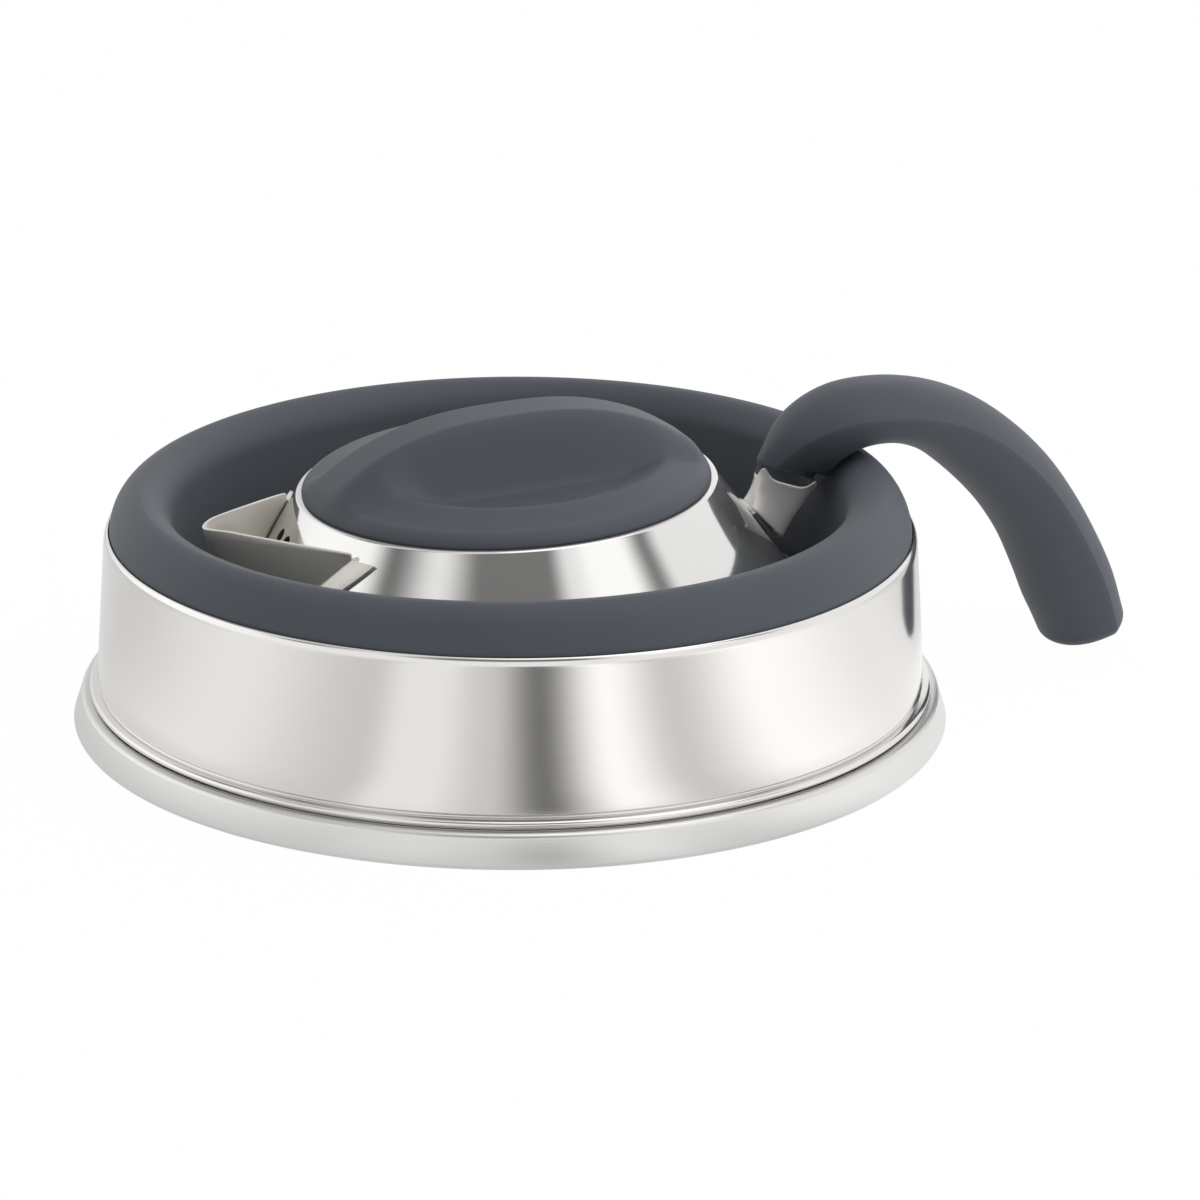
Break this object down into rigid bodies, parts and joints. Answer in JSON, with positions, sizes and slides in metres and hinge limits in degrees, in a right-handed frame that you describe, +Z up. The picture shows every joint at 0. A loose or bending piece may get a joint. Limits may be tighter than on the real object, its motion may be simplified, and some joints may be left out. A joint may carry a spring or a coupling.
{
  "type": "collapsible kettle",
  "caption": "Camping kettle with a steel pan, folding silicone wall, steel cone with spout, fixed grip and lift-off lid.",
  "frame": {"origin": "middle of the foot's underside, on the surface that the kettle stands on", "axes": "+Z up, +X towards the handle, -X towards the spout"},
  "size_m": [0.2425, 0.19, 0.0691],
  "materials": {
    "foot_steel": "polished",
    "spreader_aluminium": "mill",
    "pan_steel": "satin polish",
    "cone_steel": "polished",
    "satin_steel": "satin",
    "grey_silicone": "matte",
    "seal_silicone": "matte"
  },
  "bodies": {
    "base": {"base_cap": "foot_steel", "heat_spreader": "spreader_aluminium", "body_shell": "pan_steel", "wall_clamp_ring": "satin_steel", "silicone_wall": "grey_silicone"},
    "top": {"cone_clamp_ring": "satin_steel", "top_cone": "cone_steel", "spout": "cone_steel", "handle_bracket": "satin_steel", "handle_guard": "cone_steel", "handle_core": "satin_steel", "handle_rivet": "satin_steel", "handle_sleeve": "grey_silicone"},
    "lid": {"lid_plate": "satin_steel", "lid_gasket": "seal_silicone", "lid_cover": "grey_silicone"}
  },
  "joints": [
    {"name": "top_raise", "type": "slide", "parent": "base", "child": "top", "axis": [0, 0, 1], "range_m": [0, 0.068], "deforming": ["silicone_wall"]},
    {"name": "lid_lift", "type": "slide", "parent": "top", "child": "lid", "axis": [-0.0488, 0, 0.9988], "range_m": [0, 0.06]}
  ]
}
